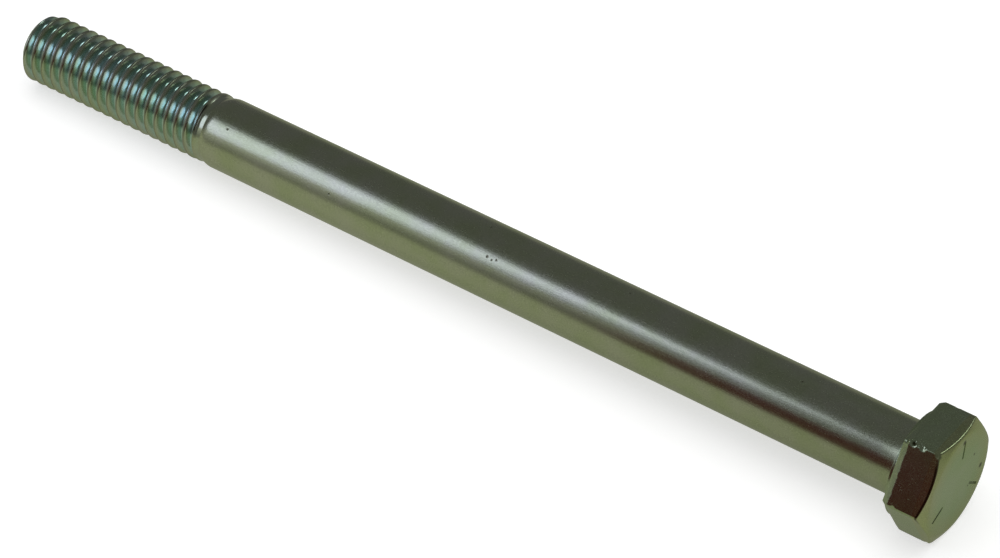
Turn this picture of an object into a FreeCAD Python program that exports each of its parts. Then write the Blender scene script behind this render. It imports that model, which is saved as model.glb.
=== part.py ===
"""Hex bolt, 3/8-16 UNC x 5 1/4 in, partly threaded, zinc-plated steel.

A hex bolt is one cold-headed forging with a rolled thread, so it is one solid in
one node. Its axis lies along X with the head at +X, and the origin is on the axis,
in the plane of the bearing face under the head. One flat of the hexagon faces
straight down, as it does when the bolt lies on a bench. Millimetres throughout.
"""

import FreeCAD
import Part

import math
import os

from FreeCAD import Vector

INCH = 25.4

# Overall sizes.
length = 5.25 * INCH                # bearing face to point
body_diameter = 9.45                # plain shank
across_flats = 14.15

# Head: a trimmed hexagon on a round washer face, with a chamfered top.
head_height = 5.85                  # bearing face to top
washer_face_diameter = 13.3
washer_face_thickness = 0.35
corner_loss = 0.07                  # how far a rounded corner falls short of a sharp one
top_flat_inset = 0.42               # from a flat of the hexagon in to the top circle
top_chamfer_angle = 26.0            # degrees from the top face
rear_bevel_inset = 0.4              # rear edge of each flat, drawn in by the trimming die
rear_bevel_rise = 0.85              # how far up the flat that goes
rear_corner_rise = 0.55             # how far up the head the rear corners are drawn in
rear_corner_angle = 38.0            # degrees from the axis
underhead_radius = 0.6              # fillet between the shank and the bearing face

# Thread: rolled, 16 to the inch, right-handed.
thread_pitch = INCH / 16
thread_diameter = 9.25              # over the crests
thread_length = 28.18               # point to the middle of the last full groove
flank_angle = 30.0                  # degrees, half of the 60 degree form
crest_share = 1 / 8                 # crest width over pitch
root_share = 1 / 6                  # root width over pitch
run_out_turns = 0.75                # over this much of a turn the last groove rises to nothing
run_out_start_angle = 137.0         # degrees about the axis, from +Y towards +Z
point_diameter = 7.9
point_angle = 45.0                  # degrees from the axis

# Neck and shoulder between the thread and the plain shank.
neck_diameter = 8.9
neck_start = 1.22                   # from the middle of the last full groove
neck_cone_length = 0.35             # the short cone from the crests down to the neck
neck_length = 0.65
shoulder_radius = 2.75

# What follows from the sizes above.
body_radius = body_diameter / 2
thread_radius = thread_diameter / 2
neck_radius = neck_diameter / 2
point_radius = point_diameter / 2
washer_face_radius = washer_face_diameter / 2
corner_radius = across_flats / math.sqrt(3) - corner_loss
top_circle_radius = across_flats / 2 - top_flat_inset
groove_width = thread_pitch * (1 - crest_share)
root_width = thread_pitch * root_share
groove_depth = (groove_width - root_width) / 2 / math.tan(math.radians(flank_angle))
root_radius = thread_radius - groove_depth
cutter_overlap = thread_pitch * crest_share / 2     # stands past the crests, clear of the next turn
point_x = -length
last_groove_x = point_x + thread_length


def outline_point(x, radius):
    return Vector(x, radius, 0)


def line(start, end):
    return Part.LineSegment(outline_point(*start), outline_point(*end)).toShape()


def arc(start, middle, end):
    return Part.Arc(outline_point(*start), outline_point(*middle), outline_point(*end)).toShape()


def polyline(points):
    return [line(start, end) for start, end in zip(points, points[1:])]


def turned(edges):
    """The solid swept by a closed (x, radius) outline about the X axis."""
    return Part.Face(Part.Wire(edges)).revolve(Vector(0, 0, 0), Vector(1, 0, 0), 360)


def make_blank():
    """Everything round: point, thread blank, neck, shoulder, shank and washer face."""
    point_end_x = point_x + (thread_radius - point_radius) / math.tan(math.radians(point_angle))
    neck_x = last_groove_x + neck_start
    shoulder_x = neck_x + neck_length
    shoulder_sweep = math.acos(1 - (body_radius - neck_radius) / shoulder_radius)
    shank_x = shoulder_x + shoulder_radius * math.sin(shoulder_sweep)

    def on_shoulder(angle):
        return (shank_x - shoulder_radius * math.sin(angle),
                body_radius - shoulder_radius * (1 - math.cos(angle)))

    def on_fillet(angle):
        return (-underhead_radius * (1 - math.sin(angle)),
                body_radius + underhead_radius * (1 - math.cos(angle)))

    edges = polyline([
        (point_x, 0),
        (point_x, point_radius),
        (point_end_x, thread_radius),
        (neck_x - neck_cone_length, thread_radius),
        (neck_x, neck_radius),
        (shoulder_x, neck_radius),
    ])
    edges.append(arc(on_shoulder(shoulder_sweep), on_shoulder(shoulder_sweep / 2), on_shoulder(0)))
    edges.append(line(on_shoulder(0), on_fillet(0)))
    edges.append(arc(on_fillet(0), on_fillet(math.pi / 4), on_fillet(math.pi / 2)))
    edges += polyline([
        on_fillet(math.pi / 2),
        (0, washer_face_radius),
        (washer_face_thickness, washer_face_radius),
        (washer_face_thickness, 0),
        (point_x, 0),
    ])
    return turned(edges)


def hexagon(x, half_across_flats):
    """A hexagon square to the axis, with corners on the Y axis."""
    sharp_corner = half_across_flats / math.cos(math.radians(30))
    return Part.makePolygon([Vector(x,
                                    sharp_corner * math.cos(math.radians(60 * i)),
                                    sharp_corner * math.sin(math.radians(60 * i))) for i in range(7)])


def make_hexagon():
    """The wrenching part of the head, from the washer face to the top."""
    bevel_end_x = washer_face_thickness + rear_bevel_rise
    flats = Part.Face(hexagon(bevel_end_x, across_flats / 2)).extrude(
        Vector(head_height - bevel_end_x, 0, 0))
    bevel = Part.makeLoft([hexagon(washer_face_thickness, across_flats / 2 - rear_bevel_inset),
                           hexagon(bevel_end_x, across_flats / 2)], True, True)
    prism = flats.fuse(bevel)

    chamfer_drop = (corner_radius - top_circle_radius) * math.tan(math.radians(top_chamfer_angle))
    corner_draw = rear_corner_rise * math.tan(math.radians(rear_corner_angle))
    envelope = turned(polyline([
        (washer_face_thickness, 0),
        (washer_face_thickness, corner_radius - corner_draw),
        (washer_face_thickness + rear_corner_rise, corner_radius),
        (head_height - chamfer_drop, corner_radius),
        (head_height, top_circle_radius),
        (head_height, 0),
        (washer_face_thickness, 0),
    ]))
    return prism.common(envelope)


def groove_section():
    """The groove's trapezoid in the XZ plane, standing out past the crests."""
    reach = groove_depth + cutter_overlap
    half_root = root_width / 2
    half_mouth = half_root + reach * math.tan(math.radians(flank_angle))
    corners = [
        Vector(root_radius, 0, -half_root),
        Vector(root_radius + reach, 0, -half_mouth),
        Vector(root_radius + reach, 0, half_mouth),
        Vector(root_radius, 0, half_root),
    ]
    return Part.Wire(Part.makePolygon(corners + corners[:1]))


def make_groove():
    """The helical cutter: full depth to the last groove, then rising out of the metal."""
    turns = math.ceil(thread_length / thread_pitch) + 1
    full_height = turns * thread_pitch
    run_out_height = run_out_turns * thread_pitch
    rise_angle = math.degrees(math.atan2(groove_depth + cutter_overlap, run_out_height))

    spine = []
    for turn in range(turns):
        one_turn = Part.makeHelix(thread_pitch, thread_pitch, root_radius)
        one_turn.translate(Vector(0, 0, turn * thread_pitch))
        spine += one_turn.Edges
    run_out = Part.makeHelix(thread_pitch, run_out_height, root_radius, rise_angle)
    run_out.translate(Vector(0, 0, full_height))
    spine += run_out.Edges

    make_solid, keep_section_radial = True, True
    cutter = Part.Wire(spine).makePipeShell([groove_section()], make_solid, keep_section_radial)
    cutter.translate(Vector(0, 0, last_groove_x - full_height))
    cutter.rotate(Vector(0, 0, 0), Vector(0, 0, 1), run_out_start_angle)
    # Turn the Z axis onto X, and X onto Y, so that angles count from +Y towards +Z.
    cutter.rotate(Vector(0, 0, 0), Vector(1, 1, 1), 120)
    return cutter


def make_bolt():
    forging = make_blank().fuse(make_hexagon()).removeSplitter()
    return forging.cut(make_groove())


os.makedirs("parts", exist_ok=True)
bolt = make_bolt()
assert bolt.isValid() and len(bolt.Solids) == 1, "the bolt is not one sound solid"
bolt.Solids[0].exportStep("parts/hex_bolt.step")
print(f"hex_bolt: {bolt.Volume:.1f} mm3, {len(bolt.Faces)} faces, {bolt.BoundBox}")
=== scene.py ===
"""A zinc-plated hex bolt, 3/8 in by 5-1/4 in and part threaded, lying on its side on a pale table.

The bolt is one piece of steel. Its mesh is built zone by zone, from the rolled thread at the point to the
forged head, and welded into one closed skin. The axis is X, the bearing face is at x = 0, sizes are metres.
"""

import math

import bmesh
import bpy
from mathutils import Matrix, Vector, noise


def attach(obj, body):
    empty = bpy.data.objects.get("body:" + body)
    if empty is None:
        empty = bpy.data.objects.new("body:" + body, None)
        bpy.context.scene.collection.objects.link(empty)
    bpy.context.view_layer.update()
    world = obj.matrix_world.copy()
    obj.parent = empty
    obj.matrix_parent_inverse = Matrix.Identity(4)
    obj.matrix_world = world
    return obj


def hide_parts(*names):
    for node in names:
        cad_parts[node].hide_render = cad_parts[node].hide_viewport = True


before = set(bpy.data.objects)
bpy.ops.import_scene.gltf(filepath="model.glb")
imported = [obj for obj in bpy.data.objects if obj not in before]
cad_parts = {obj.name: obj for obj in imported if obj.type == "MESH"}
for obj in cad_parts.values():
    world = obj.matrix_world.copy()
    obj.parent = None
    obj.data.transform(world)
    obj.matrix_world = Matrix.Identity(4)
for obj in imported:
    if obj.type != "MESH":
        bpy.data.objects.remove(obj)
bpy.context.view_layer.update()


# The rolled thread: 3/8-16 UNC, squeezed into the steel by flat dies, so its crests and roots are round and
# its last groove fades out where the dies stopped, at the neck below the shank. One ribbon, a pitch wide,
# is wound from the middle of the end face up to the neck, and its edges are welded turn to turn.

PITCH = 0.0015875
CREST_RADIUS = 0.004625
ROOT_RADIUS = 0.0036512
CREST_FLAT = PITCH / 8
FLANK_SLOPE = 1 / math.tan(math.radians(30))
POINT_X = -0.13335
POINT_RADIUS = 0.00395
LAST_GROOVE_X = -0.10517
LAST_GROOVE_ANGLE = math.radians(137)
RUN_OUT_TURNS = 0.75
CREST_END_X = -0.10430
NECK_X = -0.10395
NECK_RADIUS = 0.00445
RIBBON_END_X = -0.10340
COLUMNS = 96


class Wire:
    """A value in a node tree. Sums on it add Math nodes, and node() adds any other kind of node."""

    def __init__(self, tree, node=None, output=0):
        self.tree, self.made = tree, node
        self.socket = node.outputs[output] if node else None

    def __getitem__(self, output):
        return Wire(self.tree, self.made, output)

    def node(self, kind, settings=None, sockets=None, output=0):
        made = self.tree.nodes.new(kind)
        for name, value in (settings or {}).items():
            if name == "stops":
                while len(made.color_ramp.elements) < len(value):
                    made.color_ramp.elements.new(1.0)
                for stop, (place, colour) in zip(made.color_ramp.elements, value):
                    stop.position, stop.color = place, (*colour, 1.0)
            else:
                setattr(made, name, value)
        for name, value in (sockets or {}).items():
            if isinstance(value, Wire):
                self.tree.links.new(value.socket, made.inputs[name])
            else:
                made.inputs[name].default_value = value
        return Wire(self.tree, made, output) if made.outputs else made

    def math(self, operation, *others, first=None):
        values = (self if first is None else first, *others)
        return self.node("ShaderNodeMath", {"operation": operation}, dict(enumerate(values)))

    def __add__(self, other):
        return self.math("ADD", other)

    def __radd__(self, other):
        return self.math("ADD", other)

    def __sub__(self, other):
        return self.math("SUBTRACT", other)

    def __rsub__(self, other):
        return self.math("SUBTRACT", self, first=other)

    def __mul__(self, other):
        return self.math("MULTIPLY", other)

    def __truediv__(self, other):
        return self.math("DIVIDE", other)

    def __abs__(self):
        return self.math("ABSOLUTE")


def thread_tree():
    """Geometry Nodes that wind the thread, with its sizes as inputs."""
    tree = bpy.data.node_groups.new("rolled thread", "GeometryNodeTree")
    tree.interface.new_socket("Geometry", in_out="OUTPUT", socket_type="NodeSocketGeometry")
    sizes = {
        "Pitch": PITCH,
        "Crest Radius": CREST_RADIUS,
        "Root Radius": ROOT_RADIUS,
        "Crest Flat": CREST_FLAT,
        "Rounding": 0.00014,
        "Point X": POINT_X,
        "Point Radius": POINT_RADIUS,
        "End Cup": 0.00018,
        "Last Groove X": LAST_GROOVE_X,
        "Last Groove Turn": LAST_GROOVE_ANGLE / math.tau,
        "Run-out Turns": RUN_OUT_TURNS,
        "Crest End X": CREST_END_X,
        "Neck X": NECK_X,
        "Neck Radius": NECK_RADIUS,
        "Ribbon End X": RIBBON_END_X,
    }
    counts = {"Turns": 22, "Steps A Turn": COLUMNS, "Steps Across": 14}
    for name, size in sizes.items():
        tree.interface.new_socket(name, in_out="INPUT", socket_type="NodeSocketFloat").default_value = size
    for name, count in counts.items():
        tree.interface.new_socket(name, in_out="INPUT", socket_type="NodeSocketInt").default_value = count
    tree.interface.new_socket("Finish", in_out="INPUT", socket_type="NodeSocketMaterial")

    size = Wire(tree).node("NodeGroupInput")
    pitch, crest, root = size["Pitch"], size["Crest Radius"], size["Root Radius"]
    along, across = size["Steps A Turn"], size["Steps Across"]

    # Each point of the ribbon: how many turns it is past the last groove, and where it is across the groove.
    rows = across + 1
    index = size.node("GeometryNodeInputIndex")
    step = (index / rows).math("FLOOR")
    turned = step / along
    side = (index - step * rows) / across - 0.5
    turn = turned - (size["Turns"] - 3) - size["Last Groove Turn"]
    x_free = size["Last Groove X"] + pitch * (turn + side)

    # Rows that nearly touch the rim of the end face or the neck are moved onto it, so both edges are true.
    half_row = pitch / across * 0.5
    at_rim = abs(x_free - size["Point X"]).math("LESS_THAN", half_row)
    at_neck = (x_free + half_row).math("GREATER_THAN", size["Ribbon End X"])
    x_snapped = x_free + at_rim * (size["Point X"] - x_free) + at_neck * (size["Ribbon End X"] - x_free)
    past_rim = (size["Point X"] - x_snapped).math("MAXIMUM", 0.0) / pitch
    x = x_snapped.math("MAXIMUM", size["Point X"]).math("MINIMUM", size["Ribbon End X"])

    # The turned outline: 45 degree point, crests, then a short cone down to the neck.
    point = size["Point Radius"] + (x - size["Point X"])
    to_neck = crest - (x - size["Crest End X"]) * (crest - size["Neck Radius"]) / (
        size["Neck X"] - size["Crest End X"]
    )
    neck = to_neck.math("SMOOTH_MAX", size["Neck Radius"], 0.00006)
    outline = point.math("SMOOTH_MIN", crest, 0.0002).math("SMOOTH_MIN", neck, 0.0001)

    # The groove: two 60 degree flanks with a round root, lifted out of the steel along the run-out.
    flank = ((pitch - size["Crest Flat"]) * 0.5 - abs(side) * pitch) * FLANK_SLOPE
    depth = flank.math("SMOOTH_MIN", crest - root, size["Rounding"] * 1.6)
    lift = turn.math("MAXIMUM", 0.0) / size["Run-out Turns"] * (crest - root)
    threaded = outline.math("SMOOTH_MIN", crest - depth + lift, size["Rounding"])

    # Past the rim the ribbon closes over the end face, which the shear left very slightly dished.
    open_radius = threaded * (1.0 - past_rim)
    radius = open_radius * open_radius.math("GREATER_THAN", 0.00014)
    dish = size["End Cup"] * past_rim.math("MINIMUM", 0.5) * 2.0
    angle = turned * math.tau
    place = size.node(
        "ShaderNodeCombineXYZ",
        sockets={"X": x + dish, "Y": radius * angle.math("COSINE"), "Z": radius * angle.math("SINE")},
    )

    ribbon = size.node(
        "GeometryNodeMeshGrid",
        sockets={"Vertices X": size["Turns"] * along + 1, "Vertices Y": rows},
    )
    wound = size.node("GeometryNodeSetPosition", sockets={"Geometry": ribbon, "Position": place})
    welded = size.node("GeometryNodeMergeByDistance", sockets={"Geometry": wound, "Distance": 0.000002})
    smooth = size.node("GeometryNodeSetShadeSmooth", sockets={"Geometry": welded})
    real = size.node("GeometryNodeRealizeInstances", sockets={"Geometry": smooth})
    plated = size.node("GeometryNodeSetMaterial", sockets={"Geometry": real, "Material": size["Finish"]})
    size.node("NodeGroupOutput", sockets={"Geometry": plated})
    return tree


def plating(name, rough, grain, depth, tint):
    """Bright zinc under a thin olive passivate, the finish of the whole bolt.

    rough is the roughness, grain stretches the polishing marks along X, Y and Z, depth is how deep they are
    in millimetres, and tint scales red, green and blue. Returns the shader, the place on the bolt in
    millimetres, and wires for colour, roughness and height.
    """
    material = bpy.data.materials.new(name)
    material.use_nodes = True
    tree = material.node_tree
    tree.nodes.clear()
    start = Wire(tree)
    here = start.node("ShaderNodeTexCoord", output="Object")
    mm = here.node("ShaderNodeMapping", sockets={"Vector": here, "Scale": (1000, 1000, 1000)})

    # The passivate film: slow drifts between an olive and a greyer, bluer zinc.
    clouds = mm.node("ShaderNodeTexNoise", sockets={"Vector": mm, "Scale": 0.22, "Detail": 3.0})
    olive = [c * t for c, t in zip((0.48, 0.54, 0.34), tint)]
    steel = [c * t for c, t in zip((0.53, 0.56, 0.42), tint)]
    film = clouds.node(
        "ShaderNodeValToRGB", {"stops": [(0.36, olive), (0.66, steel)]}, {"Fac": clouds}
    )

    # Crystals of the plating: a fine speckle, a little darker and lighter than the film.
    speckle = mm.node("ShaderNodeTexNoise", sockets={"Vector": mm, "Scale": 7.0, "Detail": 2.0})
    shade = speckle.node(
        "ShaderNodeValToRGB", {"stops": [(0.3, (0.86,) * 3), (0.7, (1.12,) * 3)]}, {"Fac": speckle}
    )
    colour = film.node(
        "ShaderNodeMix",
        {"data_type": "RGBA", "blend_type": "MULTIPLY"},
        {0: 1.0, 6: film, 7: shade},
        output=2,
    )

    stretched = mm.node("ShaderNodeMapping", sockets={"Vector": mm, "Scale": grain})
    marks = mm.node(
        "ShaderNodeTexNoise", sockets={"Vector": stretched, "Scale": 1.0, "Detail": 4.0, "Roughness": 0.6}
    )
    roughness = rough + (marks - 0.5) * 0.10 + (speckle - 0.5) * 0.06
    height = (marks - 0.5) * depth + (speckle - 0.5) * depth * 0.4
    return material, mm, colour, roughness, height


def ranged(value, low, high, first=0.0, last=1.0):
    """A wire that runs from first to last as value goes from low to high."""
    bounds = {"Value": value, "From Min": low, "From Max": high, "To Min": first, "To Max": last}
    return value.node("ShaderNodeMapRange", sockets=bounds)


def around_axis(mm, degrees):
    """Wires for the place along the axis, the distance from it, and the cosine of the turn from an angle."""
    axes = mm.node("ShaderNodeSeparateXYZ", sockets={"Vector": mm})
    x, y, z = axes["X"], axes["Y"], axes["Z"]
    radius = (y * y + z * z).math("SQRT")
    turn = math.radians(degrees)
    return x, radius, (y * math.cos(turn) + z * math.sin(turn)) / radius


def tinted(colour, amount, tint):
    """The colour multiplied by a tint, by an amount from 0 to 1."""
    return colour.node(
        "ShaderNodeMix",
        {"data_type": "RGBA", "blend_type": "MULTIPLY"},
        {0: amount, 6: colour, 7: (*tint, 1.0)},
        output=2,
    )


def spotted(mm, spots):
    """1 in the middle of each spot, fading to 0 round it. A spot is (x, radius, degrees, width), in mm."""
    total = 0.0
    for x, radius, degrees, wide in spots:
        turn = math.radians(degrees)
        centre = (x, radius * math.cos(turn), radius * math.sin(turn))
        away = mm.node("ShaderNodeVectorMath", {"operation": "DISTANCE"}, {0: mm, 1: centre}, output="Value")
        total = (1.0 - away / wide).math("MAXIMUM", 0.0) + total
    return total.math("MINIMUM", 1.0)


def finish_plating(material, mm, colour, roughness, height):
    """Join the wires of one zone to its metal shader."""
    bump = mm.node("ShaderNodeBump", sockets={"Height": height, "Distance": 0.001, "Strength": 1.0})
    metal = mm.node(
        "ShaderNodeBsdfPrincipled",
        sockets={"Base Color": colour, "Metallic": 1.0, "Roughness": roughness, "Normal": bump},
    )
    mm.node("ShaderNodeOutputMaterial", sockets={"Surface": metal})
    return material


def thread_finish():
    """Thread plating: burnished flanks, a blue-green film in the grooves, a painted highlight that makes the
    side facing the key light paler, and a narrow band of painted shade near the end of the thread.
    """
    material, mm, colour, roughness, height = plating(
        "zinc_rolled_thread", 0.16, (1.5, 1.5, 1.5), 0.0012, (1.0, 1.0, 1.0)
    )
    thread_shade_x, thread_end, lit_side_degrees = -104.33, -104.6, 130
    x, radius, toward_lit_side = around_axis(mm, lit_side_degrees)
    crest = ranged(radius, 4.50, 4.62)
    on_thread = (x - thread_end).math("LESS_THAN", 0.0)
    colour = tinted(colour, ranged(radius, 4.50, 4.00), (0.98, 1.24, 1.62))
    colour = tinted(colour, crest * on_thread * 0.7, (0.62, 0.60, 0.66))
    # Painted highlight: the thread's colour is made 12 to 16 percent paler on the side that faces the key
    # light, where its highlights fall.
    colour = tinted(colour, ranged(toward_lit_side, 0.86, 0.97) * on_thread, (1.16, 1.12, 1.14))
    # Painted shade: a narrow dark band round the end of the thread at x = -104.33 mm, only on the side
    # between about 100 and 160 degrees, with a shallow groove in the bump.
    near_thread_shade = (1.0 - abs(x - thread_shade_x) / 0.20).math("MAXIMUM", 0.0).math("SQRT")
    thread_shade = near_thread_shade * ranged(toward_lit_side, 0.87, 0.93)
    colour = tinted(colour, thread_shade, (0.05, 0.03, 0.02))
    return finish_plating(material, mm, colour, roughness + crest * 0.22, height - thread_shade * 0.05)


thread_holder = bpy.data.objects.new("thread_ribbon", bpy.data.meshes.new("thread_ribbon"))
bpy.context.scene.collection.objects.link(thread_holder)
winding = thread_holder.modifiers.new("winding", "NODES")
winding.node_group = thread_tree()
thread_zinc = thread_finish()
for item in winding.node_group.interface.items_tree:
    if item.name == "Finish":
        winding[item.identifier] = thread_zinc
evaluated = thread_holder.evaluated_get(bpy.context.evaluated_depsgraph_get())
thread_mesh = bpy.data.meshes.new_from_object(evaluated)
bpy.data.objects.remove(thread_holder)

bolt = bmesh.new()
bolt.from_mesh(thread_mesh)
for face in bolt.faces:
    face.material_index = 0


# The shank: plain drawn wire, cut to length and left round, with the draw marks running along it. It is
# lathed from the shoulder above the neck to the bearing face, with the small fillet under the head.

BODY_RADIUS = 0.004725
SHOULDER_X = -0.10330
SHOULDER_CURVE = 0.00275
FILLET = 0.0006


def ring(x, radius, count=COLUMNS):
    """A circle of new points round the axis."""
    turns = [math.tau * i / count for i in range(count)]
    return [bolt.verts.new((x, radius * math.cos(a), radius * math.sin(a))) for a in turns]


def skin(first, second, slot):
    """Faces between two rings with the same number of points."""
    for i in range(len(first)):
        j = (i + 1) % len(first)
        bolt.faces.new((first[i], first[j], second[j], second[i])).material_index = slot


def shank_outline():
    """Stations of (x, radius) from the end of the thread ribbon to the bearing face."""
    yield RIBBON_END_X, NECK_RADIUS
    sweep = math.acos(1 - (BODY_RADIUS - NECK_RADIUS) / SHOULDER_CURVE)
    start = SHOULDER_X + SHOULDER_CURVE * math.sin(sweep)
    yield SHOULDER_X - 0.00002, NECK_RADIUS
    for i in range(9):
        a = sweep * (1 - i / 8)
        yield start - SHOULDER_CURVE * math.sin(a), BODY_RADIUS - SHOULDER_CURVE * (1 - math.cos(a))
    straight = 40
    for i in range(1, straight + 1):
        yield start + (-FILLET - start) * i / straight, BODY_RADIUS
    for i in range(1, 9):
        a = math.pi / 2 * i / 8
        yield -FILLET + FILLET * math.sin(a), BODY_RADIUS + FILLET * (1 - math.cos(a))


def shank_finish():
    """Shank plating: draw marks along the wire and a few pits and handling nicks."""
    material, mm, colour, roughness, height = plating(
        "zinc_drawn_shank", 0.25, (0.35, 7.0, 7.0), 0.006, (1.0, 1.0, 1.0)
    )
    places = [
        (-99.7, 127, 0.22),
        (-82.6, 150, 0.18),
        (-61.0, 84, 0.20),
        (-58.9, 132, 0.24),
        (-58.2, 134, 0.16),
        (-57.6, 131, 0.18),
        (-40.4, 85, 0.20),
        (-15.4, 97, 0.20),
        (-72.0, 250, 0.22),
        (-28.0, 300, 0.20),
    ]
    pits = spotted(mm, [(x, BODY_RADIUS * 1000, degrees, wide) for x, degrees, wide in places])
    colour = tinted(colour, pits, (0.25, 0.22, 0.18))
    return finish_plating(material, mm, colour, roughness + pits * 0.2, height - pits * 0.03)


shank_zinc = shank_finish()
stations = list(shank_outline())
previous = ring(*stations[0])
for station in stations[1:]:
    current = ring(*station)
    skin(previous, current, 1)
    previous = current
bearing_ring = previous


# The head: a hexagon forged cold from the end of the wire, with a round washer face below it, corners that
# the steel didn't quite fill, a ragged edge where the dies closed and a 26 degree chamfer on top. Three
# radial strokes, pressed 120 degrees apart, mark the strength grade.

HALF_FLATS = 0.007075
CORNER_RADIUS = 0.0080995
HEAD_HEIGHT = 0.00585
TOP_CIRCLE = 0.006655
TOP_CHAMFER = math.tan(math.radians(26))
WASHER_RADIUS = 0.00665
WASHER_THICKNESS = 0.00035
REAR_BEVEL_INSET = 0.0004
REAR_BEVEL_RISE = 0.00085
REAR_CORNER_SLOPE = math.tan(math.radians(38))
REAR_CORNER_RADIUS = CORNER_RADIUS - 0.00055 * REAR_CORNER_SLOPE
SIDE_COLUMNS = 48
STROKES = [math.radians(a) for a in (83.5, 203.5, 323.5)]
STROKE_INNER, STROKE_OUTER, STROKE_DEPTH = 0.00350, 0.00588, 0.00012
STROKE_OFFSETS = [(-0.24, 0), (-0.17, 0), (-0.11, 1), (0, 1), (0.11, 1), (0.17, 0), (0.24, 0)]


def smooth_min(a, b, blend):
    h = max(blend - abs(a - b), 0.0) / blend
    return min(a, b) - h * h * h * blend / 6


def smooth_step(low, high, value):
    t = min(max((value - low) / (high - low), 0.0), 1.0)
    return t * t * (3 - 2 * t)


def head_angles():
    """Angles of the head's columns, close together at the six corners and wide apart on the flats."""
    for side in range(6):
        for i in range(SIDE_COLUMNS):
            t = i / SIDE_COLUMNS
            yield math.radians(60) * (side + t - 0.84 * math.sin(math.tau * t) / math.tau)


def ragged(angle, scale, seed):
    """A slow, repeatable wander round the head, between about -1 and 1."""
    return noise.noise(Vector((math.cos(angle) * scale, math.sin(angle) * scale, seed))) * 1.8


def head_profile(angle):
    """Corners of the head's outline at one angle, as (x, radius, rounding), from washer face to rim."""
    off_middle = angle % math.radians(60) - math.radians(30)
    lean = math.cos(off_middle)
    side = smooth_min(HALF_FLATS / lean, CORNER_RADIUS, 0.00006)
    bevel = (HALF_FLATS - REAR_BEVEL_INSET) / lean
    bevel_slope = REAR_BEVEL_INSET / REAR_BEVEL_RISE / lean
    rise = (side - bevel) / bevel_slope
    meet = (bevel - REAR_CORNER_RADIUS) / (REAR_CORNER_SLOPE - bevel_slope)
    middle = meet if meet > 0 else rise / 2
    middle_radius = bevel + middle * bevel_slope
    rim = min(bevel, REAR_CORNER_RADIUS)
    burr = 0.00007 * ragged(angle, 9, 3.1) + 0.00005 * ragged(angle, 26, 7.7)
    return [
        (0.0, WASHER_RADIUS, 0.00006),
        (WASHER_THICKNESS, WASHER_RADIUS, 0.00005),
        (WASHER_THICKNESS, rim, 0.00008),
        (WASHER_THICKNESS + middle, middle_radius, 0.00006),
        (WASHER_THICKNESS + rise + burr, side, 0.00012),
        (HEAD_HEIGHT - (side - TOP_CIRCLE) * TOP_CHAMFER, side, 0.00013),
        (HEAD_HEIGHT, TOP_CIRCLE, 0.0003),
    ]


def rounded(corners, spans, start, end, steps=4):
    """Points along an outline whose corners are rounded, each straight span cut into its own number."""
    line = [start, *[Vector(c[:2]) for c in corners], end]
    points = [start]
    leave = start
    for i, (x, radius, reach) in enumerate(corners, 1):
        corner = line[i]
        into, out = corner - line[i - 1], line[i + 1] - corner
        arrive = corner - into * min(reach / max(into.length, 1e-9), 0.45)
        for k in range(1, spans[i - 1] + 1):
            points.append(leave.lerp(arrive, k / spans[i - 1]))
        leave = corner + out * min(reach / max(out.length, 1e-9), 0.45)
        for k in range(1, steps + 1):
            t = k / steps
            points.append(arrive.lerp(corner, t).lerp(corner.lerp(leave, t), t))
    return points


angles = list(head_angles())
rings_of_face = [6.05, 5.96, 5.88, 5.80, 5.4, 4.9, 4.4, 3.9, 3.58, 3.50, 3.42, 3.0, 2.5, 2.0, 1.5, 1.0, 0.5]
columns = []
for angle in angles:
    start, end = Vector((0.0, 0.0064)), Vector((HEAD_HEIGHT, 0.0))
    points = rounded(head_profile(angle), [1, 2, 2, 1, 2, 26, 5], start, end)
    columns.append(
        [bolt.verts.new((p.x, p.y * math.cos(angle), p.y * math.sin(angle))) for p in points]
    )


def stroke_at(column, radius):
    """Where a column crosses a ring of the face: its angle there, and 1 if it is in a pressed stroke."""
    for stroke in STROKES:
        middle = min(range(len(angles)), key=lambda i: abs(angles[i] - stroke))
        place = column - middle + len(STROKE_OFFSETS) // 2
        if 0 <= place < len(STROKE_OFFSETS):
            offset, pressed = STROKE_OFFSETS[place]
            pull = smooth_step(2.1, 3.3, radius) * smooth_step(6.2, 5.99, radius)
            straight = stroke + offset / radius
            inside = STROKE_INNER * 1000 < radius < STROKE_OUTER * 1000
            return angles[column] + (straight - angles[column]) * pull, pressed and inside
    return angles[column], 0


for number, column in enumerate(columns):
    for radius in rings_of_face:
        angle, pressed = stroke_at(number, radius)
        x = HEAD_HEIGHT - STROKE_DEPTH * pressed
        r = radius / 1000
        column.append(bolt.verts.new((x, r * math.cos(angle), r * math.sin(angle))))
for first, second in zip(columns, columns[1:] + columns[:1]):
    for i in range(len(first) - 1):
        bolt.faces.new((first[i], first[i + 1], second[i + 1], second[i])).material_index = 2
pole = bolt.verts.new((HEAD_HEIGHT, 0.0, 0.0))
for first, second in zip(columns, columns[1:] + columns[:1]):
    bolt.faces.new((first[-1], pole, second[-1])).material_index = 2
share = len(columns) // COLUMNS
for i in range(COLUMNS):
    outer = [columns[(share * i + k) % len(columns)][0] for k in range(share + 1)]
    inner = [bearing_ring[(i + 1) % COLUMNS], bearing_ring[i]]
    bolt.faces.new(outer + inner).material_index = 2

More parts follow.
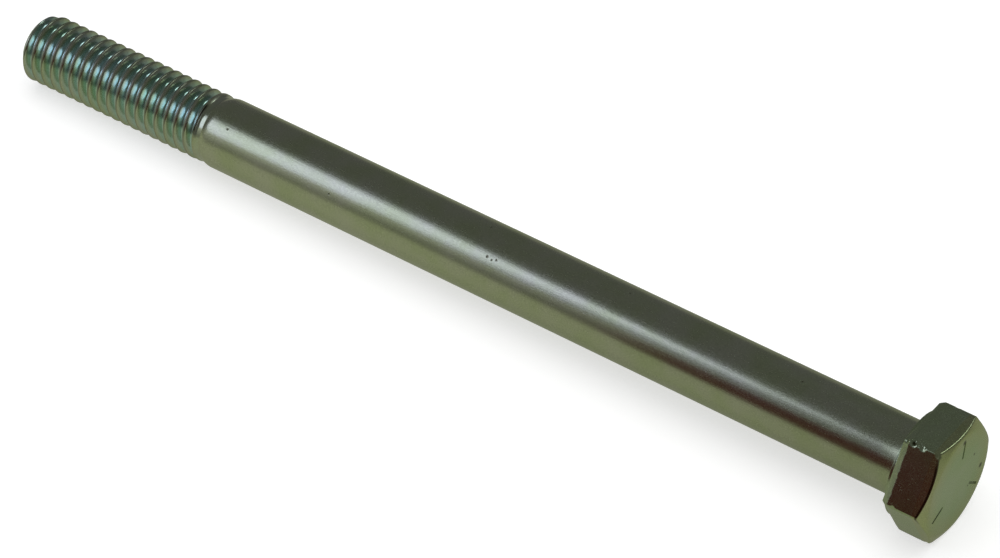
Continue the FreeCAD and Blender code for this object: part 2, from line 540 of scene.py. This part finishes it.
# Knocks from tumbling with other bolts: (x, angle, reach, depth) in millimetres and degrees. They are centred
# on a circle a little inside the corners.
KNOCK_CIRCLE = 8.0
KNOCKS = [
    (0.70, 120.0, 0.42, 0.20),
    (1.70, 120.0, 0.50, 0.30),
    (2.40, 119.4, 0.42, 0.22),
    (2.95, 120.4, 0.45, 0.20),
    (5.0, 121.0, 0.40, 0.10),
    (1.9, 180.0, 0.35, 0.14),
    (5.3, 158.0, 0.6, 0.10),
    (4.9, 240.0, 0.5, 0.12),
    (1.2, 300.0, 0.5, 0.15),
    (4.4, 0.5, 0.5, 0.14),
    (2.6, 60.5, 0.4, 0.10),
]
centre = Vector((HEAD_HEIGHT / 2, 0, 0))
for vert in {v for column in columns for v in column}:
    across_axis = math.hypot(vert.co.y, vert.co.z)
    if across_axis < 0.0067 or vert.co.x < WASHER_THICKNESS + 0.00002:
        continue
    inward = (centre - vert.co).normalized()
    for x, degrees, reach, depth in KNOCKS:
        turn = math.radians(degrees)
        spot = Vector((x, KNOCK_CIRCLE * math.cos(turn), KNOCK_CIRCLE * math.sin(turn))) / 1000
        near = max(1 - (vert.co - spot).length / (reach / 1000), 0.0)
        vert.co += inward * depth / 1000 * near * near * (3 - 2 * near)


def head_finish():
    """Head plating: greener and scuffed, browned at the rim, with painted shade in the strokes and along one
    edge.
    """
    material, mm, colour, roughness, height = plating(
        "zinc_forged_head", 0.22, (1.6, 1.6, 1.6), 0.003, (0.93, 1.0, 0.92)
    )
    face_x, face_radius = HEAD_HEIGHT * 1000, TOP_CIRCLE * 1000
    shaded_flat_degrees, shade_line_width = 156, 0.17
    x, radius, toward_shaded_flat = around_axis(mm, shaded_flat_degrees)

    # The face is a little greener in the middle and browner in a ring outside it.
    blotch = mm.node("ShaderNodeTexNoise", sockets={"Vector": mm, "Scale": 0.5, "Detail": 3.0})
    outside = ranged(radius + blotch * 3.0, 5.6, 8.4)
    on_face = (x - 4.4).math("GREATER_THAN", 0.0)
    colour = tinted(colour, outside * on_face, (1.06, 0.98, 0.86))
    colour = tinted(colour, (1.0 - outside) * on_face, (0.95, 1.02, 0.98))

    scuffs = mm.node(
        "ShaderNodeMapping", sockets={"Vector": mm, "Rotation": (0.5, 0.3, 0.2), "Scale": (2.0, 5.0, 5.0)}
    )
    scuff = mm.node("ShaderNodeTexNoise", sockets={"Vector": scuffs, "Scale": 1.0, "Detail": 4.0})
    scuffed = ranged(scuff, 0.62, 0.72)

    # Painted shade in the pressed strokes and along a line under the chamfer's edge on the flat with the most
    # knocks; a few nicks are dark too.
    stroke = (face_x - 0.02 - x).math("GREATER_THAN", 0.0) * (radius - 6.1).math("LESS_THAN", 0.0)
    nicks = spotted(
        mm,
        [
            (face_x, 6.0, 86, 0.42),
            (face_x, 5.3, 349, 0.46),
            (face_x, 3.9, 33, 0.22),
            (face_x, 3.4, 318, 0.16),
            (1.3, 7.2, 171, 0.30),
            (1.7, 7.9, 120, 0.34),
            (3.3, 7.9, 120, 0.26),
        ],
    )
    below_chamfer = (x - face_x) + (radius - face_radius) * TOP_CHAMFER
    edge = (1.0 - abs(below_chamfer + shade_line_width) / shade_line_width).math("MAXIMUM", 0.0).math("SQRT")
    off_face = (x - 5.62).math("LESS_THAN", 0.0)
    # Painted shade: the pressed strokes are darkened.
    colour = tinted(colour, stroke * 0.85, (0.22, 0.24, 0.16))
    colour = tinted(colour, (nicks * 1.6).math("MINIMUM", 1.0), (0.12, 0.10, 0.06))
    # Painted shade: a dark brownish line along the crease under the chamfer, on one flat only.
    colour = tinted(colour, edge * ranged(toward_shaded_flat, 0.84, 0.92) * off_face, (0.12, 0.08, 0.07))
    return finish_plating(material, mm, colour, roughness + scuffed * 0.10, height - scuffed * 0.002)


head_zinc = head_finish()

bmesh.ops.remove_doubles(bolt, verts=bolt.verts, dist=0.000002)
bmesh.ops.dissolve_degenerate(bolt, edges=bolt.edges, dist=0.0000005)
bmesh.ops.recalc_face_normals(bolt, faces=bolt.faces)
open_edges = [e for e in bolt.edges if len(e.link_faces) != 2]
print("bolt:", len(bolt.verts), "points,", len(bolt.faces), "faces,", len(open_edges), "open edges")
for face in bolt.faces:
    face.smooth = True
bolt_mesh = bpy.data.meshes.new("hex_bolt_steel")
for zinc in (thread_zinc, shank_zinc, head_zinc):
    bolt_mesh.materials.append(zinc)
bolt.to_mesh(bolt_mesh)
bolt.free()
hex_bolt = bpy.data.objects.new("hex_bolt_steel", bolt_mesh)
bpy.context.scene.collection.objects.link(hex_bolt)
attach(hex_bolt, "root")
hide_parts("hex_bolt")


# The table: a pale sheet that the bolt lies on, touching the rim of the head's underside and the thread.

TABLE_TILT = math.radians(1.05)


def card(name, centre, across, up, width, height, colour, glow=False):
    """A flat rectangle, given by its middle and two directions that lie in it.

    A card that glows is seen only in the metal, where it stands in for a grey or coloured surrounding. The
    table isn't seen in the metal, and is partly lit from within, so its shadows are pale.
    """
    half_w, half_h = Vector(across).normalized() * width / 2, Vector(up).normalized() * height / 2
    middle = Vector(centre)
    corners = [middle - half_w - half_h, middle + half_w - half_h, middle + half_w + half_h]
    corners.append(middle - half_w + half_h)
    mesh = bpy.data.meshes.new(name)
    mesh.from_pydata([tuple(c) for c in corners], [], [(0, 1, 2, 3)])
    material = bpy.data.materials.new(name)
    material.use_nodes = True
    material.node_tree.nodes.clear()
    start = Wire(material.node_tree)
    paint = colour(start) if callable(colour) else (*colour, 1.0)
    if glow:
        shader = start.node("ShaderNodeEmission", sockets={"Color": paint, "Strength": 1.0})
    else:
        lit = {"Base Color": paint, "Roughness": 1.0, "Emission Color": paint, "Emission Strength": 1.15}
        shader = start.node("ShaderNodeBsdfPrincipled", sockets=lit)
    start.node("ShaderNodeOutputMaterial", sockets={"Surface": shader})
    mesh.materials.append(material)
    made = bpy.data.objects.new(name, mesh)
    bpy.context.scene.collection.objects.link(made)
    made.visible_camera = not glow
    made.visible_diffuse = not glow
    made.visible_shadow = not glow
    made.visible_transmission = not glow
    made.visible_volume_scatter = not glow
    made.visible_glossy = glow
    return made


along_table = Vector((math.cos(TABLE_TILT), 0, -math.sin(TABLE_TILT)))
touch = Vector((0.0012, 0.0, -HALF_FLATS - 0.00001))
card("table", touch, along_table, (0, 1, 0), 8.0, 8.0, (0.55, 0.55, 0.545))

# A pale dome behind the table, seen only by the camera, so that low views end in the same white.
dome_mesh = bpy.data.meshes.new("dome")
dome_ball = bmesh.new()
bmesh.ops.create_icosphere(dome_ball, subdivisions=4, radius=4.0)
dome_ball.to_mesh(dome_mesh)
dome_ball.free()
dome_paint = bpy.data.materials.new("dome")
dome_paint.use_nodes = True
dome_paint.node_tree.nodes.clear()
dome_start = Wire(dome_paint.node_tree)
dome_white = {"Color": (0.95, 0.95, 0.945, 1.0), "Strength": 1.0}
dome_light = dome_start.node("ShaderNodeEmission", sockets=dome_white)
dome_start.node("ShaderNodeOutputMaterial", sockets={"Surface": dome_light})
dome_mesh.materials.append(dome_paint)
dome = bpy.data.objects.new("dome", dome_mesh)
bpy.context.scene.collection.objects.link(dome)
dome.visible_diffuse = dome.visible_glossy = dome.visible_shadow = dome.visible_transmission = False


# The light: one cool soft box on the camera's side makes the long highlight, a small one behind the head
# picks out the crests, and a wide panel overhead lights the table. The metal mirrors a grey strip of table,
# a grey wall far beyond it and a low russet board beside the head.

def soft_box(name, place, target, width, height, power, colour, shows_in_metal=True):
    light = bpy.data.lights.new(name, "AREA")
    light.shape = "RECTANGLE"
    light.size, light.size_y = width, height
    light.energy, light.color = power, colour
    lamp = bpy.data.objects.new(name, light)
    bpy.context.scene.collection.objects.link(lamp)
    lamp.location = place
    toward = Vector(target) - Vector(place)
    lamp.rotation_euler = toward.to_track_quat("-Z", "Y").to_euler()
    lamp.visible_camera = False
    lamp.visible_glossy = shows_in_metal
    return lamp


MIDDLE = (-0.06, 0, 0)
soft_box("key", (-0.46, -0.37, 0.40), MIDDLE, 0.36, 0.36, 0.60, (0.69, 0.715, 1.0))
soft_box("crest_light", (0.10, 0.42, 0.55), MIDDLE, 0.24, 0.24, 0.36, (0.85, 0.95, 1.0))
soft_box("overhead", (-0.1, 0.1, 1.2), MIDDLE, 1.8, 1.8, 16.0, (1.0, 1.0, 0.99), shows_in_metal=False)



def near_table_colour(start):
    """Glowing grey table seen only in the metal: a painted shadow makes it dimmer under the bolt and towards
    the head, and a painted pool of light makes it brighter beyond the head's face.
    """
    here = start.node("ShaderNodeTexCoord", output="Object")
    axes = here.node("ShaderNodeSeparateXYZ", sockets={"Vector": here})
    # Painted shadow: dimmer under the bolt and towards the head.
    painted_shadow = ranged(axes["Y"], -0.009, -0.003, 1.0, 0.80) * ranged(axes["X"], -0.085, -0.005, 1.0, 0.80)
    # Painted pool of light: brighter beyond the head's face.
    painted_shadow_and_light = painted_shadow * ranged(axes["X"], 0.004, 0.009, 1.0, 1.32)
    return axes.node(
        "ShaderNodeCombineColor", sockets={"Red": painted_shadow_and_light * 0.37, "Green": painted_shadow_and_light * 0.38, "Blue": painted_shadow_and_light * 0.295}
    )


def wall_colour(start):
    """Grey wall, brighter higher up and away from the head."""
    here = start.node("ShaderNodeTexCoord", output="Object")
    axes = here.node("ShaderNodeSeparateXYZ", sockets={"Vector": here})
    light = ranged(axes["Z"], 0.0, 0.24, 0.20, 0.50) * ranged(axes["X"], -0.35, -0.24, 1.0, 0.25)
    return axes.node("ShaderNodeCombineColor", sockets={"Red": light, "Green": light, "Blue": light * 0.94})


above = Vector((0, 0, 0.0004))
card("far_table_glow", touch, along_table, (0, 1, 0), 6.0, 6.0, (0.20, 0.20, 0.17), glow=True)
card("near_table_glow", touch + above, along_table, (0, 1, 0), 0.9, 0.09, near_table_colour, glow=True)
card("grey_wall", (-0.65, -0.5, 0.12), (1, 0, 0), (0, 0, 1), 0.9, 0.25, wall_colour, glow=True)
russet = (0.056, 0.015, 0.011)
card("russet_board", (0.042, -0.065, 0.011), (1, 0, 0), (0, 0, 1), 0.216, 0.037, russet, glow=True)

world = bpy.data.worlds.new("studio")
bpy.context.scene.world = world
world.use_nodes = True
world.node_tree.nodes["Background"].inputs["Color"].default_value = (0.97, 0.98, 1.0, 1.0)
world.node_tree.nodes["Background"].inputs["Strength"].default_value = 0.108


# The camera: above the head and to its right, turned a degree, with a long lens.

lens = bpy.data.cameras.new("camera")
lens.lens, lens.sensor_width, lens.clip_start = 136.92, 36.0, 0.01
camera = bpy.data.objects.new("camera", lens)
bpy.context.scene.collection.objects.link(camera)
azimuth, elevation, roll = math.radians(35.283), math.radians(40.318), math.radians(1.032)
back = Vector(
    (
        math.sin(azimuth) * math.cos(elevation),
        -math.cos(azimuth) * math.cos(elevation),
        math.sin(elevation),
    )
)
level = Vector((0, 0, 1)).cross(back).normalized()
right = Matrix.Rotation(roll, 3, back) @ level
camera.matrix_world = Matrix.LocRotScale(
    Vector((-0.058397, -0.001175, -0.001130)) + back * 0.46582,
    Matrix((right, back.cross(right), back)).transposed().to_quaternion(),
    None,
)
bpy.context.scene.camera = camera
bpy.context.scene.view_settings.view_transform = "Standard"
